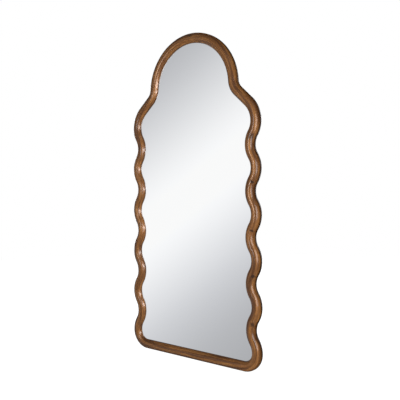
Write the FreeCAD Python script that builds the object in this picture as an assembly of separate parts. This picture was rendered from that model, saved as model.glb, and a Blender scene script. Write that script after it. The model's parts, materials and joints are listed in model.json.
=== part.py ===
import FreeCAD, Part
import math
import os
from FreeCAD import Vector

# Arched mirror with waved sides in a half-round wooden frame. Millimetres and degrees.
# +X is the viewer's right, +Z is up and the mirror faces -Y. The wall is the plane y = 0, and the
# origin lies on it midway between the pivots of the two hanging rings.

# Outline: widths and heights are overall, radii run along the middle of the moulding
OVERALL_HEIGHT = 1829.0
OVERALL_WIDTH = 914.0
WAVES = 5
WAVE_DEPTH = 35.5
SIDE_FLARE = 8.0
CORNER_RADIUS = 77.5
SHOULDER_DROP = 199.5
SHOULDER_RADIUS = 137.0
NECK_RADIUS = 85.0
ARCH_RADIUS = 281.0
ARCH_END = 4.0

# Section of the moulding
FRAME_WIDTH = 57.0
FRAME_DEPTH = 38.0
SIDE_FLAT = 12.5
BACK_ARRIS = 2.0
LIP_WIDTH = 10.0
LEDGE_WIDTH = 12.0

# Joints of the frame
CORNER_TAIL = 60.0
CROWN_SPAN = 60.0
DOWEL_DIAMETER = 8.0
DOWEL_LENGTH = 40.0
DOWEL_SPACING = 20.0
DOWEL_CHAMFER = 1.0
GLUE_GAP = 0.1

# Glass and what holds it, from the front to the back
GLASS_THICKNESS = 5.0
GLASS_CLEARANCE = 2.0
TAPE_THICKNESS = 1.0
TAPE_WIDTH = 25.0
TAPE_STRIPS = 4
TAPE_SPACING = 160.0
BOARD_THICKNESS = 6.0
BOARD_CLEARANCE = 1.0
BOARD_RECESS = 4.5
BLOCK_LENGTH = 40.0
BLOCK_SPACING = 400.0

# Screws
BOARD_SCREW_DIAMETER = 3.0
BOARD_SCREW_HEAD = 6.0
BOARD_SCREW_LENGTH = 16.0
HANGER_SCREW_DIAMETER = 4.0
HANGER_SCREW_HEAD = 8.0
HANGER_SCREW_LENGTH = 20.0
SCREW_CLEARANCE = 0.1
RAIL_SCREW_SHARES = (0.3, 0.8)

# Hanging straps and rings
STRIP_THICKNESS = 1.5
STRAP_WIDTH = 17.0
STRAP_LENGTH = 50.0
STRAP_SCREW_SPACING = 24.0
STRAP_END_DISTANCE = 14.0
RING_WIRE = 4.0
RING_BEND = 4.0
RING_LEG = 2.0
RING_SIDE_PLAY = 0.5
PIVOT_CLEARANCE = 0.1
REST_GAP = 0.3

# Wall bumpers
BUMPER_HEIGHT = 8.0
BUMPER_BASE = 20.0
BUMPER_END = 16.0
BUMPER_ROUND = 1.5
ARCH_BUMPER_SHARE = 0.75

# Heights above the bottom edge and reaches from the middle, all along the middle of the moulding
half_width = FRAME_WIDTH / 2
arch_height = OVERALL_HEIGHT - half_width - ARCH_RADIUS
shoulder_height = arch_height - SHOULDER_DROP
corner_height = half_width + CORNER_RADIUS
corner_reach = OVERALL_WIDTH / 2 - half_width
shoulder_reach = corner_reach - SIDE_FLARE
wave_pitch = (shoulder_height - corner_height) / WAVES

# Depths in front of the frame's back
board_face = BOARD_RECESS + BOARD_THICKNESS
glass_back = board_face + TAPE_THICKNESS
glass_face = glass_back + GLASS_THICKNESS
dowel_depth = (board_face + FRAME_DEPTH) / 2

# Insets from the middle of the moulding, positive towards the glass
glass_wall = half_width - LIP_WIDTH
board_wall = glass_wall - LEDGE_WIDTH
glass_edge = glass_wall + GLASS_CLEARANCE
board_edge = board_wall + BOARD_CLEARANCE
screw_inset = (glass_wall + board_edge) / 2
back_middle = (board_wall - half_width) / 2

# Eye of a hanging strap
strap_thickness = 2 * STRIP_THICKNESS
eye_bore = RING_WIRE / 2 + PIVOT_CLEARANCE
eye_radius = eye_bore + STRIP_THICKNESS
pivot_height = shoulder_height + STRAP_LENGTH / 2
pivot_reach = shoulder_reach - back_middle

ANTICLOCKWISE = Vector(0, -1, 0)
MIDDLE = Vector(0, 0, 0)
ACROSS = Vector(1, 0, 0)
TOWARDS_FRONT = Vector(0, -1, 0)
HALFWAY = 0.5

# Points of the right side where the middle line stands furthest out and furthest in, from the bottom up
wave_step = Vector(-SIDE_FLARE / WAVES, 0, wave_pitch)
corner_bulge = Vector(corner_reach, 0, corner_height)
bulges = [corner_bulge + wave_step * wave for wave in range(WAVES + 1)]
hollows = [bulge + wave_step / 2 - Vector(WAVE_DEPTH, 0, 0) for bulge in bulges[:-1]]


def back_plane(depth):
    """Y of a plane that lies this far in front of the frame's back."""
    return -BUMPER_HEIGHT - depth


def polar(radius, angle):
    """Vector in the plane of the mirror, its angle measured from +X towards +Z."""
    return Vector(radius * math.cos(math.radians(angle)), 0, radius * math.sin(math.radians(angle)))


def mirrored(shape):
    """The same shape on the other side of the mirror's middle."""
    return shape.mirror(MIDDLE, ACROSS)


def both_sides(shapes):
    """Each shape of the right half, and its twin on the left."""
    return shapes + [mirrored(shape) for shape in shapes]


def fused(shapes):
    """One solid of pieces that meet face to face."""
    return shapes[0].multiFuse(shapes[1:]).removeSplitter()


class Line:
    """Straight stretch of a middle line that is walked anticlockwise round the glass."""

    def __init__(self, start, end):
        self.start = start
        self.end = end
        self.outward = math.degrees(math.atan2(end.z - start.z, end.x - start.x)) - 90

    def station(self, share):
        """Point at a share of the length, and the direction that faces outwards there."""
        return self.start + (self.end - self.start) * share, self.outward

    def edge(self, inset):
        shift = polar(-inset, self.outward)
        return Part.makeLine(self.start + shift, self.end + shift)

    def sweep(self, section):
        return placed(section, self.station(0)).extrude(self.end - self.start)


class Arc:
    """Round stretch of such a line: it swells outwards where its angle grows, else it dips inwards."""

    def __init__(self, centre, radius, first, last):
        self.centre = centre
        self.radius = radius
        self.first = first
        self.turn = last - first
        self.swell = math.copysign(1, self.turn)

    def station(self, share):
        angle = self.first + self.turn * share
        outward = angle if self.swell > 0 else angle + 180
        return self.centre + polar(self.radius, angle), outward

    def edge(self, inset):
        radius = self.radius - self.swell * inset
        points = [self.centre + polar(radius, self.first + self.turn * share) for share in (0, HALFWAY, 1)]
        return Part.Arc(*points).toShape()

    def sweep(self, section):
        start = placed(section, self.station(0))
        return start.revolve(self.centre, ANTICLOCKWISE * self.swell, abs(self.turn))


def placed(section, station):
    """A section drawn with +X outwards, set square across the line at a station."""
    point, outward = station
    copy = section.copy()
    copy.rotate(MIDDLE, ANTICLOCKWISE, outward)
    copy.translate(point)
    return copy


def inset_point(station, inset):
    """Point beside a station, positive towards the glass."""
    point, outward = station
    return point + polar(-inset, outward)


def half_wave(start, end):
    """Two equal arcs between a bulge and a hollow, with the line upright at both ends."""
    rise = end.z - start.z
    bend = 2 * math.degrees(math.atan2(abs(end.x - start.x), rise))
    radius = rise / (2 * math.sin(math.radians(bend)))
    side = Vector(radius, 0, 0)
    if end.x < start.x:
        return [Arc(start - side, radius, 0, bend), Arc(end + side, radius, 180 + bend, 180)]
    return [Arc(start + side, radius, 180, 180 - bend), Arc(end - side, radius, -bend, 0)]


def frame_line():
    """Right half of the frame's middle line, as a list of stretches for each piece of the frame.

    The waved side is made of boards one wave long, joined just below each bulge.
    """
    corner_centre = Vector(corner_reach - CORNER_RADIUS, 0, corner_height)
    corner_start = corner_centre + polar(CORNER_RADIUS, -90)
    rail_end = corner_start - Vector(CORNER_TAIL, 0, 0)
    rail_middle = Vector(0, 0, half_width)

    falls = [half_wave(bulge, hollow) for bulge, hollow in zip(bulges, hollows)]
    rises = [half_wave(hollow, bulge) for hollow, bulge in zip(hollows, bulges[1:])]
    wave_boards = {
        f"wave_{wave}": [rises[wave - 1][1], *falls[wave], rises[wave][0]] for wave in range(1, WAVES)
    }

    shoulder_centre = bulges[-1] - Vector(SHOULDER_RADIUS, 0, 0)
    arch_centre = Vector(0, 0, arch_height)
    neck_centre = arch_centre + polar(ARCH_RADIUS + NECK_RADIUS, ARCH_END)
    between = neck_centre - shoulder_centre
    lean = math.degrees(math.acos((SHOULDER_RADIUS + NECK_RADIUS) / between.Length))
    slope_angle = math.degrees(math.atan2(between.z, between.x)) - lean
    slope = Line(
        shoulder_centre + polar(SHOULDER_RADIUS, slope_angle),
        neck_centre - polar(NECK_RADIUS, slope_angle),
    )
    crown_start = 90 - CROWN_SPAN / 2
    return {
        "bottom_rail": [Line(rail_middle, rail_end)],
        "corner": [
            Line(rail_end, corner_start),
            Arc(corner_centre, CORNER_RADIUS, -90, 0),
            *falls[0],
            rises[0][0],
        ],
        **wave_boards,
        "shoulder": [
            rises[-1][1],
            Arc(shoulder_centre, SHOULDER_RADIUS, 0, slope_angle),
            slope,
            Arc(neck_centre, NECK_RADIUS, 180 + slope_angle, 180 + ARCH_END),
        ],
        "arch": [Arc(arch_centre, ARCH_RADIUS, ARCH_END, crown_start)],
        "arch_crown": [Arc(arch_centre, ARCH_RADIUS, crown_start, 90)],
    }


def section_point(outward, depth):
    return Vector(outward, back_plane(depth), 0)


def quarter_round(start, corner, end):
    """Exact quarter of an ellipse inside the given corner."""
    curve = Part.BezierCurve()
    curve.setPoles([start, corner, end])
    curve.setWeight(2, math.sqrt(0.5))
    return curve.toShape()


def rebate(width, depth):
    """Rectangle cut from the inner back corner of the moulding."""
    corners = [(-half_width, 0), (width - half_width, 0), (width - half_width, depth), (-half_width, depth)]
    points = [section_point(*corner) for corner in corners]
    return Part.Face(Part.makePolygon(points + points[:1]))


def frame_section():
    """Half-round moulding with a rebate for the glass and a wider one behind it for the board."""
    inner_back = section_point(-half_width, 0)
    inner_flat = section_point(-half_width, SIDE_FLAT)
    inner_corner = section_point(-half_width, FRAME_DEPTH)
    crest = section_point(0, FRAME_DEPTH)
    outer_corner = section_point(half_width, FRAME_DEPTH)
    outer_flat = section_point(half_width, SIDE_FLAT)
    arris_side = section_point(half_width, BACK_ARRIS)
    arris_corner = section_point(half_width, 0)
    arris_back = section_point(half_width - BACK_ARRIS, 0)
    outline = Part.Wire([
        Part.makeLine(inner_back, inner_flat),
        quarter_round(inner_flat, inner_corner, crest),
        quarter_round(crest, outer_corner, outer_flat),
        Part.makeLine(outer_flat, arris_side),
        quarter_round(arris_side, arris_corner, arris_back),
        Part.makeLine(arris_back, inner_back),
    ])
    rebates = [rebate(LIP_WIDTH, glass_face), rebate(LIP_WIDTH + LEDGE_WIDTH, board_face)]
    return Part.Face(outline).cut(rebates).Faces[0]


def plate(line, inset, back, front):
    """Flat sheet that follows the frame at an inset, between two depths."""
    edges = [stretch.edge(inset) for stretches in line.values() for stretch in stretches]
    outline = Part.Wire(Part.__sortEdges__(both_sides(edges)))
    outline.translate(Vector(0, back_plane(back), 0))
    return Part.Face(outline).extrude(Vector(0, back - front, 0))


def dowels(line, slack):
    """Two dowels across each joint of the right half; slack widens and lengthens them into holes."""
    radius = DOWEL_DIAMETER / 2 + slack
    length = DOWEL_LENGTH + 2 * slack
    pegs = []
    for stretches in list(line.values())[:-1]:
        joint = stretches[-1].station(1)
        along = polar(1, joint[1] + 90)
        for inset in (-DOWEL_SPACING / 2, DOWEL_SPACING / 2):
            middle = inset_point(joint, inset) + Vector(0, back_plane(dowel_depth), 0)
            peg = Part.makeCylinder(radius, length, middle - along * (length / 2), along)
            ends = [edge for edge in peg.Edges if edge.Closed and len(edge.Vertexes) == 1]
            pegs.append(peg if slack else peg.makeChamfer(DOWEL_CHAMFER, ends))
    return pegs


def countersunk_screw(head_point, diameter, head, length, slack):
    """Pointed wood screw whose flat head lies at the given point; slack widens it into its hole."""
    shank = diameter / 2
    profile = [
        (0, 0),
        (head / 2 + slack, 0),
        (shank + slack, head / 2 - shank),
        (shank + slack, length - diameter),
        (0, length + slack),
    ]
    points = [head_point + Vector(radius, 0, 0) + TOWARDS_FRONT * depth for radius, depth in profile]
    half = Part.Face(Part.makePolygon(points + points[:1]))
    return half.revolve(head_point, TOWARDS_FRONT, 360)


def board_screws(line, slack):
    """Screws of the right half: one at each bulge, and along the rail, the slope and the arch."""
    slope = line["shoulder"][-2]
    stations = [(bulge, 0) for bulge in bulges]
    stations += [line["bottom_rail"][0].station(share) for share in RAIL_SCREW_SHARES]
    stations += [stretch.station(HALFWAY) for stretch in (slope, line["arch"][0], line["arch_crown"][0])]
    board_back = Vector(0, back_plane(BOARD_RECESS), 0)
    sizes = BOARD_SCREW_DIAMETER, BOARD_SCREW_HEAD, BOARD_SCREW_LENGTH, slack
    return [countersunk_screw(inset_point(place, screw_inset) + board_back, *sizes) for place in stations]


def hanger_screws(slack):
    """The two screws of the right-hand strap, one above the other."""
    face = back_plane(-strap_thickness)
    lower = pivot_height - STRAP_LENGTH + STRAP_END_DISTANCE
    heights = [lower, lower + STRAP_SCREW_SPACING]
    sizes = HANGER_SCREW_DIAMETER, HANGER_SCREW_HEAD, HANGER_SCREW_LENGTH, slack
    return [countersunk_screw(Vector(pivot_reach, face, height), *sizes) for height in heights]


def hanger_strap():
    """Right-hand strap: a doubled strip with a round end, folded round the ring's bar at its top."""
    end_radius = STRAP_WIDTH / 2
    low_middle = Vector(pivot_reach, back_plane(0), pivot_height - STRAP_LENGTH + end_radius)
    side = Vector(end_radius, 0, 0)
    top = Vector(0, 0, STRAP_LENGTH - end_radius)
    outline = Part.Wire([
        Part.Arc(low_middle - side, low_middle - Vector(0, 0, end_radius), low_middle + side).toShape(),
        Part.makeLine(low_middle + side, low_middle + side + top),
        Part.makeLine(low_middle + side + top, low_middle - side + top),
        Part.makeLine(low_middle - side + top, low_middle - side),
    ])
    strip = Part.Face(outline).extrude(Vector(0, strap_thickness, 0))
    eye_start = Vector(pivot_reach - end_radius, back_plane(-eye_radius), pivot_height)
    eye = Part.makeCylinder(eye_radius, STRAP_WIDTH, eye_start, ACROSS)
    bore = Part.makeCylinder(eye_bore, STRAP_WIDTH, eye_start, ACROSS)
    return fused([strip, eye]).cut([bore] + hanger_screws(SCREW_CLEARANCE))


def hanger_ring():
    """Right-hand ring: a wire bent to a D, hanging from its straight bar and resting on the strap."""
    bar = STRAP_WIDTH / 2 + RING_SIDE_PLAY
    bow_radius = bar + RING_BEND
    bow_drop = RING_BEND + RING_LEG
    leg_foot = Vector(bow_radius, 0, -bow_drop)
    leg_top = Vector(bow_radius, 0, -RING_BEND)
    half = [
        Arc(Vector(0, 0, -bow_drop), bow_radius, -90, 0),
        Line(leg_foot, leg_top),
        Arc(Vector(bar, 0, -RING_BEND), RING_BEND, 0, 90),
        Line(Vector(bar, 0, 0), MIDDLE),
    ]
    wire_circle = Part.makeCircle(RING_WIRE / 2, MIDDLE, Vector(0, 0, 1))
    wire = Part.Face(Part.Wire([wire_circle]))
    ring = fused(both_sides([stretch.sweep(wire) for stretch in half]))
    crossing = bow_drop + math.sqrt(bow_radius ** 2 - (STRAP_WIDTH / 2) ** 2)
    lift = strap_thickness + REST_GAP + RING_WIRE / 2 - eye_radius
    ring.rotate(MIDDLE, ACROSS, math.degrees(math.asin(lift / crossing)))
    ring.translate(Vector(pivot_reach, back_plane(-eye_radius), pivot_height))
    return ring


def wall_bumper(station):
    """Tapered rubber buffer on the middle of the frame's back, with a rounded end at the wall."""
    base = inset_point(station, back_middle) + Vector(0, back_plane(0), 0)
    cone = Part.makeCone(BUMPER_BASE / 2, BUMPER_END / 2, BUMPER_HEIGHT, base, -TOWARDS_FRONT)
    rim = max((edge for edge in cone.Edges if edge.Closed), key=lambda edge: edge.CenterOfMass.y)
    return cone.makeFillet(BUMPER_ROUND, [rim])


def wall_bumpers(line):
    """The two bumpers of the right half, on the lower corner and on the arch."""
    corner = line["corner"][1].station(HALFWAY)
    arch = line["arch"][0].station(ARCH_BUMPER_SHARE)
    return [wall_bumper(corner), wall_bumper(arch)]


def setting_block():
    """Right-hand block between the bottom of the rebate and the edge of the glass."""
    start = Vector((BLOCK_SPACING - BLOCK_LENGTH) / 2, back_plane(glass_face), half_width + glass_wall)
    return Part.makeBox(BLOCK_LENGTH, GLASS_THICKNESS, GLASS_CLEARANCE, start)


def tape_strips():
    """Upright foam strips between the heights of the lowest and the highest bulge."""
    length = shoulder_height - corner_height
    first_edge = -(TAPE_SPACING * (TAPE_STRIPS - 1) + TAPE_WIDTH) / 2
    first = Vector(first_edge, back_plane(glass_back), corner_height)
    starts = [first + ACROSS * (TAPE_SPACING * strip) for strip in range(TAPE_STRIPS)]
    return [Part.makeBox(TAPE_WIDTH, TAPE_THICKNESS, length, start) for start in starts]


def frame_pieces(line, holes):
    """Every piece of the frame, drilled: the rail and the crown cross the middle, the rest are pairs."""
    section = frame_section()
    pieces = {}
    for name, stretches in line.items():
        solids = [stretch.sweep(section) for stretch in stretches]
        if name in ("bottom_rail", "arch_crown"):
            pieces[name] = fused(both_sides(solids)).cut(holes)
        else:
            right = fused(solids).cut(holes)
            pieces[name + "_right"] = right
            pieces[name + "_left"] = mirrored(right)
    return pieces


def save(name, solids):
    """Write one node, with the origin moved up from the bottom edge to the rings' pivots."""
    shape = solids[0] if len(solids) == 1 else Part.makeCompound(solids)
    shape.translate(Vector(0, 0, -pivot_height))
    shape.exportStep(os.path.join("parts", name + ".step"))


def main():
    os.makedirs("parts", exist_ok=True)
    line = frame_line()
    board_holes = both_sides(board_screws(line, SCREW_CLEARANCE))
    frame_holes = both_sides(dowels(line, GLUE_GAP) + hanger_screws(SCREW_CLEARANCE)) + board_holes
    for name, piece in frame_pieces(line, frame_holes).items():
        save(name, piece.Solids)
    save("joint_dowels", both_sides(dowels(line, 0)))
    save("mirror_glass", [plate(line, glass_edge, glass_back, glass_face)])
    save("setting_blocks", both_sides([setting_block()]))
    save("bonding_tape", tape_strips())
    save("backing_board", plate(line, board_edge, BOARD_RECESS, board_face).cut(board_holes).Solids)
    save("board_screws", both_sides(board_screws(line, 0)))
    save("hanger_screws", both_sides(hanger_screws(0)))
    save("wall_bumpers", both_sides(wall_bumpers(line)))
    for name, piece in (("hanger_strap", hanger_strap()), ("hanger_ring", hanger_ring())):
        save(name + "_left", mirrored(piece).Solids)
        save(name + "_right", piece.Solids)


main()
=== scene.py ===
"""Arched mirror with waved sides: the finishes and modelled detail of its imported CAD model.

Metres and radians. +X is the viewer's right, +Z is up, the mirror faces -Y and the wall is the plane y = 0.
"""

import json
import math
from collections import namedtuple

import bmesh
import bpy
from bpy.props import FloatProperty, FloatVectorProperty, IntProperty, PointerProperty
from bpy.types import Operator, Panel, PropertyGroup
from mathutils import Euler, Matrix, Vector, noise

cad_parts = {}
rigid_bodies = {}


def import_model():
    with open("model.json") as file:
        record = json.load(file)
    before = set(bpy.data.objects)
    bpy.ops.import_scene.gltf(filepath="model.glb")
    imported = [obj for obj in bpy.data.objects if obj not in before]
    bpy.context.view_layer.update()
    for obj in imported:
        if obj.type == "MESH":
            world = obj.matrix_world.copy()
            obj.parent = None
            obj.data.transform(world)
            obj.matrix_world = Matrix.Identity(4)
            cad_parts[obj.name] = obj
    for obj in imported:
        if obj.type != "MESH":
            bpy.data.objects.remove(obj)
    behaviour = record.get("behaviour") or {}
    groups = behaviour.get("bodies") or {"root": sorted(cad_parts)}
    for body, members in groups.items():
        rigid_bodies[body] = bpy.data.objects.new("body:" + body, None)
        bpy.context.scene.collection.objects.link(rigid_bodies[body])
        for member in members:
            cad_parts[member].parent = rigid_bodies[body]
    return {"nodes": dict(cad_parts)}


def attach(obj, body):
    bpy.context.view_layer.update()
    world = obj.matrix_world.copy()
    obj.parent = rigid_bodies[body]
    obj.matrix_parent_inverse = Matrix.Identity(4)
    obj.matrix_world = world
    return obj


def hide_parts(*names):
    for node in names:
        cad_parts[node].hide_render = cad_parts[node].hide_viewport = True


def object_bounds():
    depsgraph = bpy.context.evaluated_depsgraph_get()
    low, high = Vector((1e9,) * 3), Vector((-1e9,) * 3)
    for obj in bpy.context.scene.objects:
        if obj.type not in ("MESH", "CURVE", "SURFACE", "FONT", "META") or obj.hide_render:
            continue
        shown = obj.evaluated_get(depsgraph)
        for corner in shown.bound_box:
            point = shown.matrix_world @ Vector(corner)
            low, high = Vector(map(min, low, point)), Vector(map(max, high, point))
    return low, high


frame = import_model()
CAD_LOW, CAD_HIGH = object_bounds()

bl_info = {
    "name": "Arched Mirror",
    "version": (1, 0, 0),
    "blender": (4, 5, 0),
    "location": "3D View > Sidebar > Mirror",
    "description": "Dresses the packed model of an arched mirror with waved sides",
    "category": "Object",
}

MIRROR_BODY = "mirror"
SHARP_EDGE = math.radians(38)
UP = math.pi / 2
HALF_TURN = math.pi
FULL_TURN = 2 * math.pi

# Dark marks of a board: distance from its far end, place across, half-length, half-width, darkness.
KNOTS = {
    "corner_right": ((0.022, 0.014, 0.022, 0.016, 0.72),),
    "wave_1_right": ((0.010, 0.014, 0.016, 0.014, 0.86), (0.036, 0.008, 0.030, 0.008, 0.50)),
    "wave_2_right": ((0.020, 0.014, 0.007, 0.020, 0.84),),
    "wave_3_right": ((0.006, 0.012, 0.014, 0.013, 0.90), (0.030, 0.004, 0.030, 0.008, 0.48)),
    "wave_4_right": ((0.019, 0.013, 0.028, 0.015, 0.78),),
    "wave_2_left": ((0.030, -0.006, 0.014, 0.010, 0.66),),
    "wave_4_left": ((0.055, 0.004, 0.016, 0.010, 0.66),),
    "arch_crown": ((0.150, 0.012, 0.026, 0.011, 0.74),),
}

# Place of the boards in the grain's noise and from the tree's heart; share of a bend that shows.
GRAIN_SHIFT = 31.9
HEART_ACROSS = 0.050
HEART_DEEP = 0.030
GRAIN_DRIFT = 0.15

# Uneven spots per metre that hand sanding leaves, along a board and round its section.
SANDED_ALONG = 14
SANDED_ROUND = 40

# Where glaze and painted shade end and where they are full: glaze from a joint; glaze with painted shade up
# the flank, up the inner lip, inwards on that lip.
SEAM_FADE = (0.0007, 0.0003)
RIM_SHADE_FADE = (0.0190, 0.0125)
LIP_SHADE_FADE = (0.0250, 0.0170)
LIP_SHADE_INWARD = (-0.020, -0.026)

# Half section of a wall bumper, as shares of its height and radius. The last five make the dish.
BUMPER_OUTLINE = (
    (0.0, 0.97), (0.02, 0.995), (0.05, 0.995), (0.70, 0.855), (0.86, 0.826), (0.92, 0.805), (0.97, 0.765),
    (1.0, 0.69), (1.0, 0.60), (0.985, 0.55), (0.955, 0.40), (0.945, 0.20), (0.942, 0.05),
)
BUMPER_SEGMENTS = 48

# Dowel: number of flutes; as shares of its radius, the bottom of a flute, its ends and their chamfer.
DOWEL_FLUTES = 12
FLUTE_BOTTOM = 0.93
DOWEL_END = 0.75
DOWEL_CHAMFER = 0.25

# Screw, as shares of its head's width: the head's radius, edge and depth, the shank, the point.
HEAD_RADIUS = 0.475
HEAD_EDGE = 0.02
HEAD_DEPTH = 0.25
SHANK_RADIUS = 0.25
POINT_LENGTH = 0.5

# Driver recess, as shares of the head's width: reach of an arm, half its width, depth.
RECESS_MOUTH = (0.30, 0.085, 0.0)
RECESS_FLOOR = (0.13, 0.065, 0.20)

# Thread: steps in a turn, neck and ridge in turns; as shares of the shank, its neck, core, ridge and tip.
THREAD_STEPS = 6
NECK_TURNS = 0.6
RIDGE_TURNS = 0.5
NECK_RADIUS = 0.96
THREAD_CORE = 0.70
THREAD_RIDGE = 0.29
LEAST_TAPER = 0.04
TIP_RADIUS = 0.03

# Studio that clear reflections show: its greys along a slanted axis, and the dark behind the mirror.
BAND_AXIS = (0.590, -0.256, -0.765)
BAND_SPAN = (-0.6, 0.8)
STUDIO_GREYS = (
    (0.0, 0.28), (0.143, 0.42), (0.221, 0.62), (0.314, 1.20),
    (0.400, 0.73), (0.471, 0.50), (0.57, 0.37), (0.90, 0.60),
)
COOL_TINT = 0.03
REAR_SPAN = (-0.2, 0.1)
REAR_GREY = (0.015,) * 3

# Floor: its radius, where it fades into the background, and its glow to the camera before and after.
FLOOR_RADIUS = 7.0
FLOOR_FADE = (0.5, 2.2)
FLOOR_GLOW = (0.90, 1.0)

# Layout of a node tree: nodes in a row, room for each.
NODES_IN_ROW = 8
NODE_WIDTH = 220
NODE_HEIGHT = 320

# Point of the moulding's section: place outwards, depth, way it faces, how far it is worked, sharp or not.
Corner = namedtuple("Corner", "outward depth faces worked sharp")

# Soft lamp: degrees right of the front, reach, rise, width, height, in gloss alone, group lit (None: all).
LIT_GROUPS = ("all_but_glass", "all_but_left", "left_boards", "other_boards")
Lamp = namedtuple("Lamp", "name turn reach rise width height only_gloss lights")
LAMPS = (
    Lamp("key", 36, 3.4, 0.2, 0.8, 2.1, False, "all_but_glass"),
    Lamp("side", 52, 3.4, 0.2, 1.0, 2.1, False, "all_but_left"),
    Lamp("thrown", 76, 3.4, 0.2, 1.5, 0.8, False, "left_boards"),
    Lamp("glint", 52, 3.3, 0.2, 2.6, 0.6, True, "left_boards"),
    Lamp("strip", -12, 3.8, 0.2, 0.4, 1.5, True, "other_boards"),
    Lamp("sheen", -10, 3.8, 0.2, 1.4, 1.0, True, "left_boards"),
    Lamp("edge", -115, 3.4, 0.2, 1.2, 2.1, False, None),
    Lamp("back", 180, 6.02, 0.5, 5.0, 5.0, False, None),
)


def count(name, description, default, least):
    """Property for a whole number."""
    return IntProperty(name=name, description=description, default=default, min=least)


def length(name, description, default):
    """Property for a length of the mirror."""
    return FloatProperty(
        name=name, description=description, default=default, min=0, unit="LENGTH", precision=5,
    )


def angle(name, description, degrees):
    """Property for an angle, its default given in degrees."""
    return FloatProperty(name=name, description=description, default=math.radians(degrees), unit="ROTATION")


def share(name, description, default):
    """Property for a share from 0 to 1."""
    return FloatProperty(name=name, description=description, default=default, min=0, max=1, subtype="FACTOR")


def colour(name, description, default):
    """Property for a scene-linear colour."""
    return FloatVectorProperty(
        name=name, description=description, default=default, min=0, max=1, subtype="COLOR",
    )


def watts(name, description, default):
    """Property for the power of a lamp."""
    return FloatProperty(name=name, description=description, default=default, min=0, unit="POWER")


class MirrorSizes(PropertyGroup):
    """Outline of the frame, section of its moulding and fineness of its meshes."""

    waves: count("Waves", "Waves down each side", 5, 2)
    wave_depth: length("Wave depth", "How far a hollow lies inside the bulges", 0.0355)
    side_flare: length("Side flare", "How much further out the lowest bulge stands than the highest", 0.008)
    corner_radius: length("Corner radius", "Lower corners, along the middle of the moulding", 0.0775)
    corner_tail: length("Corner tail", "Straight end of a corner piece along the bottom", 0.060)
    shoulder_drop: length("Shoulder drop", "From the middle of the arch down to the shoulder bulge", 0.1995)
    shoulder_radius: length("Shoulder radius", "Round of the shoulder", 0.137)
    neck_radius: length("Neck radius", "Hollow between the shoulder and the arch", 0.085)
    arch_radius: length("Arch radius", "Arch, along the middle of the moulding", 0.281)
    arch_end: angle("Arch end", "Angle above level where the arch meets the neck", 4)
    crown_span: angle("Crown span", "Part of the arch that the crown board covers", 60)
    frame_width: length("Frame width", "Width of the moulding", 0.057)
    frame_depth: length("Frame depth", "Depth of the moulding", 0.038)
    side_flat: length("Side flat", "Flat flank of the moulding behind its round", 0.0125)
    back_arris: length("Back arris", "Rounding of the moulding's outer back edge", 0.002)
    lip_width: length("Lip width", "Wood in front of the glass", 0.010)
    ledge_width: length("Ledge width", "Step that the board is screwed to", 0.012)
    board_face: length("Board face", "Depth of the board's rebate", 0.0105)
    glass_face: length("Glass face", "Depth of the glass's rebate", 0.0165)
    wall_gap: length("Wall gap", "Space that the bumpers keep behind the frame", 0.008)
    joint_width: length("Joint width", "Eased edge of a board at its joint", 0.0004)
    joint_depth: length("Joint depth", "How deep that edge is eased", 0.0002)
    hand_work: length("Hand work", "Unevenness that hand sanding leaves", 0.0004)
    thread_pitch: share("Thread pitch", "Pitch of a screw's thread, as a share of its head's width", 0.22)
    screw_turn: angle("Screw turn", "How far each screw is turned on from the one before", 137.5)
    screw_segments: count("Screw segments", "Faces round a screw", 24, 8)
    mesh_step: length("Mesh step", "Length of a face along the moulding", 0.005)
    round_steps: count("Round steps", "Faces in each half of the round", 14, 4)


class MirrorColours(PropertyGroup):
    """Colours of the finishes."""

    wood_light: colour("Light wood", "Stained early wood", (0.340, 0.149, 0.042))
    wood_middle: colour("Middle wood", "Stained wood between the rings", (0.215, 0.085, 0.022))
    wood_dark: colour("Dark wood", "Stained late wood and pores", (0.080, 0.028, 0.008))
    # Glaze colour, also painted as shade up the flank and along the inner lip.
    glaze: colour("Glaze", "Stain that gathers in the joints and along the edges", (0.026, 0.011, 0.005))
    wood_sheen: share("Wood sheen", "Light that the wood's fibres send back in its own colour", 0.16)
    lacquer_roughness: share("Lacquer roughness", "Roughness of the satin lacquer", 0.22)
    silver: colour("Silver", "Reflection of the silvered glass", (0.945, 0.950, 0.950))
    glass_edge: colour("Glass edge", "Polished edge of the glass", (0.16, 0.32, 0.26))
    backing_paint: colour("Backing paint", "Paint over the silver behind the glass", (0.23, 0.24, 0.25))
    board: colour("Board", "Bare fibreboard", (0.30, 0.19, 0.105))
    dowel: colour("Dowel", "Bare beech", (0.52, 0.34, 0.18))
    foam: colour("Foam", "Closed-cell tape", (0.70, 0.70, 0.67))
    rubber: colour("Rubber", "Bumpers and setting blocks", (0.022, 0.022, 0.023))
    zinc: colour("Zinc", "Plated straps", (0.62, 0.63, 0.65))
    nickel: colour("Nickel", "Plated rings", (0.70, 0.68, 0.64))
    yellow_zinc: colour("Yellow zinc", "Plated screws", (0.66, 0.52, 0.27))


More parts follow.
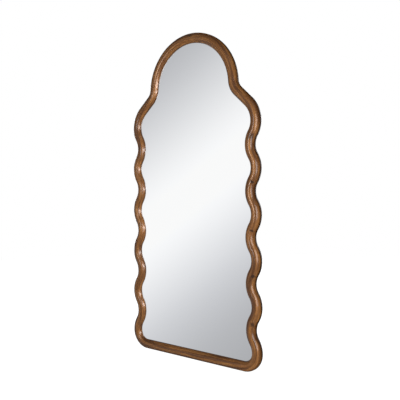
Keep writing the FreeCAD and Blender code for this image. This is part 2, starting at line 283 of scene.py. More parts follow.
class StudioSettings(PropertyGroup):
    """Camera, floor and lights; each power is that of the lamp with its name."""

    camera_place: FloatVectorProperty(
        name="Camera place", description="Where the camera stands", subtype="TRANSLATION", unit="LENGTH",
        default=(2.0831, -2.5845, -0.3223), precision=4,
    )
    camera_yaw: angle("Camera yaw", "How far the camera stands round to the right", 38.3685)
    camera_pitch: angle("Camera pitch", "How far the camera looks down", 2.1007)
    camera_roll: angle("Camera roll", "Turn of the picture about the line of sight", 0.2516)
    camera_lens: FloatProperty(
        name="Lens", description="Focal length on a 36 mm sensor", default=52.98, subtype="DISTANCE_CAMERA",
    )
    floor_drop: length("Floor drop", "Height of the hung mirror's bottom edge above the floor", 0.30)
    floor: colour("Floor", "Pale floor", (0.90, 0.90, 0.89))
    ambient: FloatProperty(name="Ambient", description="Even light from all round", default=0.07, min=0)
    key_power: watts("Key power", "Soft light from the right of the front", 60)
    side_power: watts("Side power", "Soft light further to the right, on all but the left-hand boards", 42)
    thrown_power: watts("Thrown power", "Light over the glass, on the left-hand boards", 92)
    glint_power: watts("Glint power", "Low, wide light, only in the left-hand boards' lacquer", 78)
    sheen_power: watts("Sheen power", "Weaker light from the left, in the same lacquer", 34)
    strip_power: watts("Strip power", "Tall light, only in the other boards' lacquer", 44)
    edge_power: watts("Edge power", "Weak light from the left and behind", 40)
    back_power: watts("Back power", "Light on the back", 310)


class MirrorSettings(PropertyGroup):
    """All that a user may change."""

    sizes: PointerProperty(type=MirrorSizes)
    colours: PointerProperty(type=MirrorColours)
    studio: PointerProperty(type=StudioSettings)


class NodeTree:
    """Node tree of a material or world, with short calls for the nodes that they share."""

    def __init__(self, owner):
        owner.use_nodes = True
        self.owner = owner
        self.tree = owner.node_tree
        self.tree.nodes.clear()

    def node(self, kind, inputs=None, **settings):
        made = self.tree.nodes.new(kind)
        row, column = divmod(len(self.tree.nodes) - 1, NODES_IN_ROW)
        made.location = (column * NODE_WIDTH, -row * NODE_HEIGHT)
        for key, value in settings.items():
            setattr(made, key, value)
        for key, value in (inputs or {}).items():
            self.give(made.inputs[key], value)
        return made

    def give(self, socket, value):
        if isinstance(value, bpy.types.NodeSocket):
            self.tree.links.new(value, socket)
        elif socket.type == "RGBA" and len(value) == 3:
            socket.default_value = (*value, 1)
        else:
            socket.default_value = value

    def math(self, operation, first, second=0.0):
        return self.node("ShaderNodeMath", {0: first, 1: second}, operation=operation).outputs[0]

    def plus(self, first, second):
        return self.math("ADD", first, second)

    def times(self, first, second):
        return self.math("MULTIPLY", first, second)

    def vector(self, operation, first, second):
        return self.node("ShaderNodeVectorMath", {0: first, 1: second}, operation=operation).outputs[0]

    def dot(self, vector, axis):
        inputs = {0: vector, 1: axis}
        return self.node("ShaderNodeVectorMath", inputs, operation="DOT_PRODUCT").outputs["Value"]

    def distance(self, vector):
        return self.node("ShaderNodeVectorMath", {0: vector}, operation="LENGTH").outputs["Value"]

    def attribute(self, name):
        return self.node("ShaderNodeAttribute", attribute_name=name).outputs["Vector"]

    def place(self):
        return self.node("ShaderNodeTexCoord").outputs["Object"]

    def split(self, vector):
        return self.node("ShaderNodeSeparateXYZ", {0: vector}).outputs

    def noise(self, vector, stretch, detail=2.0, roughness=0.5, output="Fac"):
        """Noise from 0 to 1 whose cells per metre are given for each axis."""
        scaled = self.vector("MULTIPLY", vector, stretch)
        inputs = {"Vector": scaled, "Scale": 1.0, "Detail": detail, "Roughness": roughness}
        return self.node("ShaderNodeTexNoise", inputs).outputs[output]

    def spread(self, value, start, end):
        """Even rise of a value from 0 to 1 between two of its levels."""
        inputs = {"Value": value, "From Min": start, "From Max": end}
        return self.node("ShaderNodeMapRange", inputs).outputs[0]

    def fade(self, value, start, end, low=0.0, high=1.0):
        """Smooth step of a value between two of its levels."""
        inputs = {"Value": value, "From Min": start, "From Max": end, "To Min": low, "To Max": high}
        return self.node("ShaderNodeMapRange", inputs, interpolation_type="SMOOTHSTEP").outputs[0]

    def mix(self, factor, first, second):
        made = self.node("ShaderNodeMix", data_type="RGBA")
        self.give(made.inputs["Factor"], factor)
        self.give(made.inputs["A"], first)
        self.give(made.inputs["B"], second)
        return made.outputs["Result"]

    def ramp(self, factor, stops, interpolation="LINEAR"):
        made = self.node("ShaderNodeValToRGB", {0: factor})
        elements = made.color_ramp.elements
        made.color_ramp.interpolation = interpolation
        while len(elements) < len(stops):
            elements.new(1)
        for element, (position, shade) in zip(elements, stops):
            element.position = position
            element.color = (*shade, 1)
        return made.outputs[0]


class Finish(NodeTree):
    """Node tree of a new material."""

    def __init__(self, name):
        super().__init__(bpy.data.materials.new(name))

    def bump(self, height, distance, strength):
        inputs = {"Height": height, "Distance": distance, "Strength": strength}
        return self.node("ShaderNodeBump", inputs).outputs[0]

    def surface(self, **inputs):
        """Close the tree with a Principled shader; input names have _ for spaces."""
        named = {key.replace("_", " "): value for key, value in inputs.items()}
        shader = self.node("ShaderNodeBsdfPrincipled", named)
        output = self.node("ShaderNodeOutputMaterial", {"Surface": shader.outputs[0]})
        output.is_active_output = True
        return self.owner

    def matt(self, shade, patches, low, high, relief):
        """Close the tree as a dull surface, whose roughness follows its patches."""
        dull = self.fade(patches, 0.2, 0.8, low, high)
        return self.surface(Base_Color=shade, Roughness=dull, Normal=relief)


def toned(shade, factor):
    """Colour made darker or lighter."""
    return [part * factor for part in shade]


def wood_finish(colours):
    """Brown stained wood under satin lacquer: rings, fibres, pores, darker glaze in joints and knots, and
    glaze with painted shade along the flank and the inner lip.
    """
    tree = Finish("stained_wood_lacquered")
    grain = tree.attribute("grain")
    joint, outward, depth = tree.split(tree.attribute("place"))
    knot = tree.node("ShaderNodeAttribute", attribute_name="knot").outputs["Fac"]

    # Rings round the tree's heart, swayed a little and swirled round the knots
    sway = tree.vector("SUBTRACT", tree.noise(grain, (6, 26, 26), output="Color"), (0.5, 0.5, 0.5))
    swirl = tree.node("ShaderNodeVectorMath", {0: sway, "Scale": knot}, operation="SCALE").outputs[0]
    bent = tree.vector("ADD", grain, tree.vector("MULTIPLY", sway, (0, 0.005, 0.005)))
    bent = tree.vector("ADD", bent, tree.vector("MULTIPLY", swirl, (0, 0.05, 0.05)))
    rings_per_metre = 130
    from_heart = tree.distance(tree.vector("MULTIPLY", bent, (0, 1, 1)))
    rings = tree.math("FRACT", tree.times(from_heart, rings_per_metre))
    late = tree.ramp(rings, [(0.0, (0, 0, 0)), (0.50, (0.2,) * 3), (0.84, (1, 1, 1)), (1.0, (0, 0, 0))])
    ring_strength = tree.fade(tree.noise(grain, (7, 40, 40)), 0.36, 0.66, 0.10, 0.85)

    # Marks along the grain, from broad to fine
    mottle = tree.noise(grain, (11, 46, 46), 3, 0.6)
    streak = tree.noise(bent, (2.2, 62, 62), 2, 0.55)
    # Streaks grow denser towards the outer edge of the section, which darkens that side.
    streak = tree.plus(streak, tree.times(outward, 1.6))
    line = tree.noise(bent, (4, 360, 360))
    fibre = tree.noise(bent, (60, 2600, 2600))
    pores = tree.fade(tree.noise(bent, (130, 3800, 3800), 1), 0.62, 0.72)

    # Stain, as those marks take it
    base = tree.mix(tree.fade(mottle, 0.34, 0.66), colours.wood_middle, colours.wood_light)
    base = tree.mix(tree.times(late, ring_strength), base, colours.wood_dark)
    base = tree.mix(tree.fade(streak, 0.46, 0.62, 0, 0.90), base, colours.wood_dark)
    base = tree.mix(tree.fade(line, 0.48, 0.68, 0, 0.60), base, colours.wood_dark)
    base = tree.mix(tree.fade(fibre, 0.40, 0.75, 0, 0.10), base, colours.wood_light)
    base = tree.mix(tree.times(pores, 0.3), base, colours.wood_dark)

    # Glaze in the knots and the joints; glaze with painted shade on the flank, most on the outer one, and on
    # the inner lip beside the glass
    smudge = tree.noise(grain, (70, 110, 110), 3, 0.65)
    knotted = tree.fade(tree.plus(knot, tree.times(smudge, 0.8)), 0.62, 1.25, 0, 0.92)
    seam = tree.fade(joint, *SEAM_FADE, 0, 0.5)
    ragged_edge = tree.times(tree.math("SUBTRACT", mottle, 0.5), 0.010)
    uneven_depth = tree.plus(depth, ragged_edge)
    # Painted shade with glaze: darker up the flank towards the back, most on the outer side, less at the very
    # back.
    rim = tree.fade(uneven_depth, *RIM_SHADE_FADE, 0, 0.8)
    rim = tree.times(rim, tree.fade(outward, -0.01, 0.01, 0.4, 1.0))
    rim = tree.times(rim, tree.fade(depth, 0.0, 0.002, 0.5, 1.0))
    # Painted shade with glaze: darker along the inner lip beside the glass.
    lip = tree.fade(uneven_depth, *LIP_SHADE_FADE, 0, 0.6)
    lip = tree.times(lip, tree.fade(outward, *LIP_SHADE_INWARD))
    glaze_and_shade_mask = tree.math("MAXIMUM", tree.math("MAXIMUM", knotted, seam), tree.math("MAXIMUM", rim, lip))
    base = tree.mix(glaze_and_shade_mask, base, colours.glaze)

    # Relief that shows through the lacquer
    relief = tree.plus(tree.times(fibre, 0.5), tree.times(pores, -1.0))
    relief = tree.plus(relief, tree.times(late, 0.35))
    roughness = tree.fade(tree.plus(mottle, tree.times(pores, 0.4)), 0.2, 1.0, 0.40, 0.50)
    return tree.surface(
        Base_Color=base,
        Metallic=colours.wood_sheen,
        Roughness=roughness,
        Specular_IOR_Level=0.10,
        Specular_Tint=colours.wood_light,
        Coat_Weight=0.55,
        Coat_Roughness=colours.lacquer_roughness,
        Normal=tree.bump(relief, 0.00005, 0.35),
    )


def glass_finish(colours):
    """Silvered float glass: a clear reflection in front, greenish edges, grey paint behind."""
    tree = Finish("silvered_float_glass")
    place = tree.place()
    haze = tree.noise(place, (9, 9, 9), 4, 0.6)
    wipe = tree.noise(place, (60, 60, 4), 3, 0.6)
    normal = tree.node("ShaderNodeNewGeometry").outputs["Normal"]
    front = tree.fade(tree.dot(normal, (0, -1, 0)), 0.5, 0.9)
    back = tree.fade(tree.dot(normal, (0, 1, 0)), 0.5, 0.9)
    edge_tint = tree.mix(tree.fade(haze, 0.3, 0.7, 0, 0.4), colours.glass_edge, (0.10, 0.22, 0.18))
    paint = tree.mix(tree.fade(wipe, 0.3, 0.7, 0, 0.5), colours.backing_paint, (0.18, 0.19, 0.20))
    behind = tree.mix(back, edge_tint, paint)
    clear = tree.fade(tree.times(haze, wipe), 0.12, 0.45, 0.004, 0.030)
    dull = tree.plus(tree.times(back, 0.5), 0.08)
    blend = tree.node("ShaderNodeMix", {"Factor": front, "A": dull, "B": clear}).outputs["Result"]
    return tree.surface(Base_Color=tree.mix(front, behind, colours.silver), Metallic=front, Roughness=blend)


def plated_finish(name, base, spangle, roughness):
    """Plated steel with cloudy crystals, faint draw marks and duller patches."""
    tree = Finish(name)
    place = tree.place()
    cells = tree.node("ShaderNodeTexVoronoi", {"Vector": place, "Scale": 420.0})
    crystals = tree.split(cells.outputs["Color"])[0]
    cloud = tree.noise(place, (240, 240, 240), 3, 0.6)
    marks = tree.noise(place, (3000, 3000, 160))
    tint = tree.mix(tree.fade(cloud, 0.3, 0.7, 0, 0.35), base, toned(base, 0.72))
    tint = tree.mix(tree.fade(crystals, 0.0, 1.0, 0, spangle), tint, toned(base, 0.6))
    worn = tree.plus(cloud, tree.times(marks, 0.4))
    dull = tree.fade(worn, 0.4, 1.0, roughness, roughness + 0.2)
    return tree.surface(Base_Color=tint, Metallic=1.0, Roughness=dull, Normal=tree.bump(marks, 0.00003, 0.4))


def board_finish(colours):
    """Bare fibreboard with flecks of lighter and darker fibre."""
    tree = Finish("bare_fibreboard")
    place = tree.place()
    turned = tree.vector("ADD", place, tree.noise(place, (60, 60, 60), output="Color"))
    fleck = tree.noise(tree.vector("MULTIPLY", turned, (1, 1, 0.35)), (900, 900, 900), 3, 0.65)
    cloud = tree.noise(place, (6, 6, 6), 4, 0.6)
    base = tree.mix(tree.fade(fleck, 0.35, 0.65), toned(colours.board, 0.78), colours.board)
    base = tree.mix(tree.fade(fleck, 0.62, 0.75, 0, 0.6), base, toned(colours.board, 1.5))
    base = tree.mix(tree.fade(cloud, 0.35, 0.7, 0, 0.25), base, toned(colours.board, 0.65))
    return tree.matt(base, fleck, 0.72, 0.88, tree.bump(fleck, 0.0001, 0.6))


def dowel_finish(colours):
    """Bare beech with short flecks."""
    tree = Finish("bare_beech")
    place = tree.place()
    fleck = tree.noise(place, (500, 900, 500), 3, 0.6)
    cloud = tree.noise(place, (25, 25, 25))
    base = tree.mix(tree.fade(cloud, 0.3, 0.7, 0, 0.5), colours.dowel, toned(colours.dowel, 0.8))
    base = tree.mix(tree.fade(fleck, 0.58, 0.70, 0, 0.6), base, toned(colours.dowel, 0.5))
    return tree.matt(base, fleck, 0.55, 0.75, tree.bump(fleck, 0.0001, 0.4))


def foam_finish(colours):
    """Closed-cell foam: small pits, painted darker as shade in them, and a slightly uneven white."""
    tree = Finish("closed_cell_foam")
    place = tree.place()
    cells = tree.node("ShaderNodeTexVoronoi", {"Vector": place, "Scale": 1600.0}).outputs["Distance"]
    cloud = tree.noise(place, (30, 30, 30), 3)
    # Pits painted darker than the foam around them: painted shade in the pits.
    base = tree.mix(tree.fade(cells, 0.1, 0.6), toned(colours.foam, 0.75), colours.foam)
    base = tree.mix(tree.fade(cloud, 0.3, 0.7, 0, 0.3), base, toned(colours.foam, 0.9))
    return tree.matt(base, cloud, 0.80, 0.92, tree.bump(cells, 0.0002, 0.6))


def rubber_finish(name, colours):
    """Matt rubber with a fine moulded grain and a little bloom."""
    tree = Finish(name)
    place = tree.place()
    moulded = tree.noise(place, (2600, 2600, 2600))
    bloom = tree.noise(place, (120, 120, 120), 3, 0.6)
    base = tree.mix(tree.fade(bloom, 0.45, 0.75, 0, 0.5), colours.rubber, toned(colours.rubber, 2.4))
    return tree.matt(base, bloom, 0.55, 0.75, tree.bump(moulded, 0.00008, 0.5))


def polar(radius, turn):
    """Vector in the plane of the mirror, its angle measured from +X towards +Z."""
    return Vector((radius * math.cos(turn), 0, radius * math.sin(turn)))


def pace(run, step):
    """Shares of a run, so that no part of it is longer than a step."""
    parts = max(2, math.ceil(run / step))
    return [part / parts for part in range(parts + 1)]


def straight(start, end, step):
    """Stations of a straight stretch: points with the angle that faces outwards there."""
    way = end - start
    outward = math.atan2(way.z, way.x) - UP
    return [(start + way * part, outward) for part in pace(way.length, step)]


def arc(centre, radius, first, last, step):
    """Stations of a round stretch, which swells outwards where its angle grows, else dips inwards."""
    turn = last - first
    flip = 0 if turn > 0 else HALF_TURN
    angles = [first + turn * part for part in pace(abs(turn) * radius, step)]
    return [(centre + polar(radius, at), at + flip) for at in angles]


def half_wave(start, end, step):
    """Two equal arcs between a bulge and a hollow, with the line upright at both ends."""
    rise = end.z - start.z
    bend = 2 * math.atan2(abs(end.x - start.x), rise)
    radius = rise / (2 * math.sin(bend))
    side = Vector((radius, 0, 0))
    if end.x < start.x:
        leaving = arc(start - side, radius, 0, bend, step)
        return [leaving, arc(end + side, radius, HALF_TURN + bend, HALF_TURN, step)]
    leaving = arc(start + side, radius, HALF_TURN, HALF_TURN - bend, step)
    return [leaving, arc(end - side, radius, -bend, 0, step)]


def frame_line(sizes):
    """Stations along the middle of each board: the right half, the rail and the crown."""
    step = sizes.mesh_step
    half = sizes.frame_width / 2
    arch_height = CAD_HIGH.z - half - sizes.arch_radius
    shoulder_height = arch_height - sizes.shoulder_drop
    corner_height = CAD_LOW.z + half + sizes.corner_radius
    corner_reach = CAD_HIGH.x - half
    pitch = (shoulder_height - corner_height) / sizes.waves
    wave_step = Vector((-sizes.side_flare / sizes.waves, 0, pitch))
    bulges = [Vector((corner_reach, 0, corner_height)) + wave_step * wave for wave in range(sizes.waves + 1)]
    hollows = [bulge + wave_step / 2 - Vector((sizes.wave_depth, 0, 0)) for bulge in bulges[:-1]]
    falls = [half_wave(bulge, hollow, step) for bulge, hollow in zip(bulges, hollows)]
    rises = [half_wave(hollow, bulge, step) for hollow, bulge in zip(hollows, bulges[1:])]

    corner_centre = Vector((corner_reach - sizes.corner_radius, 0, corner_height))
    corner_start = corner_centre + polar(sizes.corner_radius, -UP)
    rail_end = corner_start - Vector((sizes.corner_tail, 0, 0))
    rail_start = Vector((-rail_end.x, 0, rail_end.z))

    shoulder_centre = bulges[-1] - Vector((sizes.shoulder_radius, 0, 0))
    arch_centre = Vector((0, 0, arch_height))
    neck_centre = arch_centre + polar(sizes.arch_radius + sizes.neck_radius, sizes.arch_end)
    between = neck_centre - shoulder_centre
    lean = math.acos((sizes.shoulder_radius + sizes.neck_radius) / between.length)
    slope = math.atan2(between.z, between.x) - lean
    slope_start = shoulder_centre + polar(sizes.shoulder_radius, slope)
    slope_end = neck_centre - polar(sizes.neck_radius, slope)
    crown_start = UP - sizes.crown_span / 2

    boards = {
        "bottom_rail": [straight(rail_start, rail_end, step)],
        "corner": [
            straight(rail_end, corner_start, step),
            arc(corner_centre, sizes.corner_radius, -UP, 0, step),
            *falls[0],
            rises[0][0],
        ],
    }
    for wave in range(1, sizes.waves):
        boards[f"wave_{wave}"] = [rises[wave - 1][1], *falls[wave], rises[wave][0]]
    boards |= {
        "shoulder": [
            rises[-1][1],
            arc(shoulder_centre, sizes.shoulder_radius, 0, slope, step),
            straight(slope_start, slope_end, step),
            arc(neck_centre, sizes.neck_radius, HALF_TURN + slope, HALF_TURN + sizes.arch_end, step),
        ],
        "arch": [arc(arch_centre, sizes.arch_radius, sizes.arch_end, crown_start, step)],
        "arch_crown": [arc(arch_centre, sizes.arch_radius, crown_start, HALF_TURN - crown_start, step)],
    }
    joined = {}
    for name, stretches in boards.items():
        joined[name] = stretches[0] + [station for stretch in stretches[1:] for station in stretch[1:]]
    return joined


def moulding_profile(sizes):
    """Corners once round the moulding's section, from its outer flank over the round to the back."""
    half = sizes.frame_width / 2
    rise = sizes.frame_depth - sizes.side_flat
    lip = math.asin((sizes.glass_face - sizes.side_flat) / rise)
    steps = 2 * sizes.round_steps
    points = []
    for step in range(steps + 1):
        turn = (HALF_TURN - lip) * step / steps
        faces = Vector((math.cos(turn) / half, math.sin(turn) / rise)).normalized()
        worked = math.sin(HALF_TURN * step / steps) ** 0.5
        depth = sizes.side_flat + rise * math.sin(turn)
        points.append(Corner(half * math.cos(turn), depth, faces, worked, step == steps))
    glass_wall = half - sizes.lip_width
    board_wall = glass_wall - sizes.ledge_width
    for outward, depth in (
        (-glass_wall, sizes.glass_face),
        (-glass_wall, sizes.board_face),
        (-board_wall, sizes.board_face),
        (-board_wall, 0),
    ):
        points.append(Corner(outward, depth, Vector((-1, 0)), 0, True))
    arris_steps = 3
    for step in range(arris_steps + 1):
        turn = -UP + UP * step / arris_steps
        faces = Vector((math.cos(turn), math.sin(turn)))
        outward = half - sizes.back_arris + sizes.back_arris * math.cos(turn)
        points.append(Corner(outward, sizes.back_arris * (1 + math.sin(turn)), faces, 0, False))
    return points


def eased_ends(stations, width):
    """Stations with one more just inside each end, where the board's edge is eased."""
    first, second = stations[:2]
    before, last = stations[-2:]

    def towards(near, far):
        part = width / (far[0] - near[0]).length
        return near[0].lerp(far[0], part), near[1] + (far[1] - near[1]) * part

    return [first, towards(first, second), *stations[1:-1], towards(last, before), last]


def runs_along(stations):
    """Distance of each station from the first, along the line through them."""
    runs = [0.0]
    for (near, _), (far, _) in zip(stations, stations[1:]):
        runs.append(runs[-1] + (far - near).length)
    return runs


def skin(shell, near, far):
    """Faces between two rings of as many points."""
    for spot in range(len(near)):
        after = (spot + 1) % len(near)
        shell.faces.new((near[spot], near[after], far[after], far[spot]))


def knot_shade(mark, run, across):
    """How dark a knot or smudge makes a place, from its distance to the board's far end and across."""
    from_end, sideways, long, wide, strength = mark
    reach = ((run - from_end) / long) ** 2 + ((across - sideways) / wide) ** 2
    return strength * math.exp(-reach)


def stand_in(name, shell, node, material):
    """Mesh of a new object that stands for a CAD node and rides on the mirror."""
    mesh = bpy.data.meshes.new(name)
    shell.to_mesh(mesh)
    shell.free()
    mesh.materials.append(material)
    piece = bpy.data.objects.new(name, mesh)
    bpy.context.scene.collection.objects.link(piece)
    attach(piece, MIRROR_BODY)
    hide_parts(node)
    return mesh


def board_object(node, stations, side, grain_start, sizes, profile, wood):
    """One board of the frame, swept along its stations, that stands for its CAD node."""
    stations = eased_ends(stations, sizes.joint_width)
    runs = runs_along(stations)
    chord = stations[-1][0] - stations[0][0]
    across = Vector((chord.z, 0, -chord.x)).normalized()

    shell = bmesh.new()
    grain, place, knot, rings = [], [], [], []
    marks = KNOTS.get(node, ())
    for index, ((point, outward), run) in enumerate(zip(stations, runs)):
        gap = min(run, runs[-1] - run)
        drift = GRAIN_DRIFT * (point - stations[0][0]).dot(across)
        eased = sizes.joint_depth if index in (0, len(stations) - 1) else 0.0
        ring = []
        along = grain_start + side * run + GRAIN_SHIFT
        for corner in profile:
            sanded = (along * SANDED_ALONG, corner.outward * SANDED_ROUND, corner.depth * SANDED_ROUND)
            wobble = 0.5 + 0.5 * noise.noise(Vector(sanded))
            cut = corner.worked * (eased + sizes.hand_work * wobble)
            deep = corner.depth - corner.faces.y * cut
            spot = point + polar(corner.outward - corner.faces.x * cut, outward)
            ring.append(shell.verts.new((side * spot.x, -sizes.wall_gap - deep, spot.z)))
            grain.append((along, corner.outward + drift + HEART_ACROSS, corner.depth + HEART_DEEP))
            place.append((gap, corner.outward, corner.depth))
            knot.append(max([0.0] + [knot_shade(mark, runs[-1] - run, corner.outward) for mark in marks]))
        rings.append(ring)
    ring_size = len(profile)
    for near, far in zip(rings, rings[1:]):
        skin(shell, near, far)
    shell.faces.new(rings[0])
    shell.faces.new(rings[-1])
    bmesh.ops.recalc_face_normals(shell, faces=shell.faces)
    for face in shell.faces:
        face.smooth = len(face.verts) == 4
    for near, far in zip(rings, rings[1:]):
        for spot, corner in enumerate(profile):
            if corner.sharp:
                shell.edges.get((near[spot], far[spot])).smooth = False
    for ring in (rings[0], rings[1], rings[-2], rings[-1]):
        for spot in range(ring_size):
            shell.edges.get((ring[spot], ring[(spot + 1) % ring_size])).smooth = False

    mesh = stand_in(node + "_wood", shell, node, wood)
    for name, values in (("grain", grain), ("place", place)):
        layer = mesh.attributes.new(name, "FLOAT_VECTOR", "POINT")
        layer.data.foreach_set("vector", [part for value in values for part in value])
    mesh.attributes.new("knot", "FLOAT", "POINT").data.foreach_set("value", knot)


def solids_of(node):
    """Points of each separate solid in a CAD node."""
    shell = bmesh.new()
    shell.from_mesh(frame["nodes"][node].data)
    bmesh.ops.remove_doubles(shell, verts=shell.verts, dist=1e-6)
    solids = []
    for first in shell.verts:
        if first.tag:
            continue
        first.tag = True
        waiting, points = [first], []
        while waiting:
            vert = waiting.pop()
            points.append(vert.co.copy())
            for edge in vert.link_edges:
                other = edge.other_vert(vert)
                if not other.tag:
                    other.tag = True
                    waiting.append(other)
        solids.append(points)
    shell.free()
    return solids


def spans(points):
    """Lowest and highest corner of a solid."""
    sides = list(zip(*points))
    return Vector([min(side) for side in sides]), Vector([max(side) for side in sides])


def long_axis(points, centre):
    """Direction in which a solid is longest, found by rounds from a first guess."""
    along = Vector((0.6, 0.1, 0.8))
    rounds = 24
    arms = [point - centre for point in points]
    for _ in range(rounds):
        along = sum((arm * arm.dot(along) for arm in arms), Vector()).normalized()
    return along


def turned_piece(shell, start, along, rings, cap_start=True):
    """Round solid along an axis: rings of (distance, radii), each radius list going once round."""
    side = along.orthogonal().normalized()
    up = along.cross(side)
    made = []
    for distance, radii in rings:
        turns = [FULL_TURN * spot / len(radii) for spot in range(len(radii))]
        made.append([
            shell.verts.new(start + along * distance + (side * math.cos(turn) + up * math.sin(turn)) * radius)
            for turn, radius in zip(turns, radii)
        ])
    for near, far in zip(made, made[1:]):
        skin(shell, near, far)
    if cap_start:
        shell.faces.new(made[0])
    shell.faces.new(made[-1])
    return made


def cross_recess(shell, rim, middle, along, head, turn):
    """Cross-shaped driver recess in the flat end inside a rim of points."""
    side = Vector((math.cos(turn), 0, math.sin(turn)))
    up = along.cross(side)

    def outline(shares):
        arm, half, depth = [part * head for part in shares]
        corners = ((arm, half), (half, half), (half, arm))
        points = []
        for quarter in range(4):
            for across, upward in corners:
                for _ in range(quarter):
                    across, upward = -upward, across
                points.append(shell.verts.new(middle + side * across + up * upward + along * depth))
        return points

    mouth = outline(RECESS_MOUTH)
    floor = outline(RECESS_FLOOR)
    skin(shell, mouth, floor)
    shell.faces.new(floor)
    edges = []
    for ring in (rim, mouth):
        edges += [shell.edges.get((ring[spot - 1], ring[spot])) for spot in range(len(ring))]
    bmesh.ops.triangle_fill(shell, use_beauty=True, edges=edges, normal=-along)


def wood_screw(shell, points, sizes, turn):
    """Countersunk wood screw with a cross recess, a cut thread and a point, scaled from its plain solid."""
    low, high = spans(points)
    head = high.x - low.x
    reach = high.y - low.y
    shank = SHANK_RADIUS * head
    start = Vector(((low.x + high.x) / 2, high.y, (low.z + high.z) / 2))
    along = Vector((0, -1, 0))
    pitch = sizes.thread_pitch * head
    segments = sizes.screw_segments
    under_head = HEAD_DEPTH * head
    neck = under_head + NECK_TURNS * pitch
    tip = reach - POINT_LENGTH * head
    rim = [HEAD_RADIUS * head] * segments
    rings = [(0, rim), (HEAD_EDGE * head, rim), (under_head, [NECK_RADIUS * shank] * segments)]
    steps = math.ceil((reach - neck) / pitch * THREAD_STEPS)
    for step in range(steps):
        distance = neck + (reach - neck) * step / steps
        taper = min(1.0, max(LEAST_TAPER, (reach - distance) / (reach - tip)))
        rise = min(1.0, step / THREAD_STEPS)
        radii = []
        for spot in range(segments):
            phase = (distance / pitch - spot / segments) % 1
            ridge = max(0.0, 1 - abs(2 * phase - 1) / RIDGE_TURNS) * rise
            radii.append(shank * taper * (THREAD_CORE + THREAD_RIDGE * ridge))
        rings.append((distance, radii))
    rings.append((reach, [TIP_RADIUS * shank] * segments))
    made = turned_piece(shell, start, along, rings, cap_start=False)
    cross_recess(shell, made[0], start, along, head, turn)


def fluted_dowel(shell, points):
    """Glued dowel with straight flutes and chamfered ends, in the place of a plain solid."""
    centre = sum(points, Vector()) / len(points)
    along = long_axis(points, centre)
    half = max(abs((point - centre).dot(along)) for point in points)
    radius = max((point - centre).cross(along).length for point in points)
    chamfer = DOWEL_CHAMFER * radius
    flutes = [FLUTE_BOTTOM * radius, radius, radius] * DOWEL_FLUTES
    ends = [DOWEL_END * radius] * len(flutes)
    rings = [(0, ends), (chamfer, flutes), (half, flutes), (2 * half - chamfer, flutes), (2 * half, ends)]
    turned_piece(shell, centre - along * half, along, rings)


def wall_bumper(shell, points):
    """Rubber bumper with a rounded rim and a shallow dish in its end, in the place of a plain solid."""
    low, high = spans(points)
    base = (high.z - low.z) / 2
    height = high.y - low.y
    start = Vector(((low.x + high.x) / 2, low.y, (low.z + high.z) / 2))
    rings = [(part * height, [radius * base] * BUMPER_SEGMENTS) for part, radius in BUMPER_OUTLINE]
    turned_piece(shell, start, Vector((0, 1, 0)), rings)


def smoothed(name, shell, node, material):
    """Object made from closed shells, smooth but for its sharp edges, that stands for a CAD node."""
    bmesh.ops.recalc_face_normals(shell, faces=shell.faces)
    mesh = stand_in(name, shell, node, material)
    mesh.polygons.foreach_set("use_smooth", [True] * len(mesh.polygons))
    mesh.set_sharp_from_angle(angle=SHARP_EDGE)


def dress(node, material):
    """Give a CAD node its finish."""
    piece = frame["nodes"][node]
    piece.data.materials.clear()
    piece.data.materials.append(material)


class MIRROR_OT_frame_boards(Operator):
    """Sweep the boards of the wooden frame, eased at their joints, and finish them"""

    bl_idname = "mirror.frame_boards"
    bl_label = "Frame Boards"

    def execute(self, context):
        sizes = context.scene.arched_mirror.sizes
        profile = moulding_profile(sizes)
        wood = wood_finish(context.scene.arched_mirror.colours)
        boards = frame_line(sizes)
        run = 0.0
        for name, stations in boards.items():
            node = name if name in frame["nodes"] else name + "_right"
            board_object(node, stations, 1, run, sizes, profile, wood)
            run += runs_along(stations)[-1]
        for name, stations in reversed(boards.items()):
            if name not in frame["nodes"]:
                run += runs_along(stations)[-1]
                board_object(name + "_left", stations, -1, run, sizes, profile, wood)
        return {"FINISHED"}


class MIRROR_OT_glass(Operator):
    """Silver the glass"""

    bl_idname = "mirror.glass"
    bl_label = "Glass"

    def execute(self, context):
        dress("mirror_glass", glass_finish(context.scene.arched_mirror.colours))
        return {"FINISHED"}


class MIRROR_OT_backing(Operator):
    """Finish the backing board, the tape and blocks round the glass, and the dowels in the joints"""

    bl_idname = "mirror.backing"
    bl_label = "Backing"

    def execute(self, context):
        colours = context.scene.arched_mirror.colours
        dress("backing_board", board_finish(colours))
        dress("bonding_tape", foam_finish(colours))
        dress("setting_blocks", rubber_finish("setting_block_rubber", colours))
        pegs = bmesh.new()
        for points in solids_of("joint_dowels"):
            fluted_dowel(pegs, points)
        smoothed("joint_dowels_fluted", pegs, "joint_dowels", dowel_finish(colours))
        return {"FINISHED"}


class MIRROR_OT_hangers(Operator):
    """Plate the hanging straps and rings"""

    bl_idname = "mirror.hangers"
    bl_label = "Hangers"

    def execute(self, context):
        colours = context.scene.arched_mirror.colours
        zinc = plated_finish("zinc_plate", colours.zinc, spangle=0.55, roughness=0.56)
        nickel = plated_finish("nickel_plate", colours.nickel, spangle=0.10, roughness=0.22)
        for side in ("left", "right"):
            dress("hanger_strap_" + side, zinc)
            dress("hanger_ring_" + side, nickel)
        return {"FINISHED"}


class MIRROR_OT_screws(Operator):
    """Turn the countersunk screws, with recess and thread, and plate them"""

    bl_idname = "mirror.screws"
    bl_label = "Screws"

    def execute(self, context):
        settings = context.scene.arched_mirror
        yellow = settings.colours.yellow_zinc
        plate = plated_finish("yellow_zinc_plate", yellow, spangle=0.20, roughness=0.26)
        for node in ("board_screws", "hanger_screws"):
            screws = bmesh.new()
            for index, points in enumerate(solids_of(node)):
                wood_screw(screws, points, settings.sizes, index * settings.sizes.screw_turn)
            smoothed(node + "_turned", screws, node, plate)
        return {"FINISHED"}


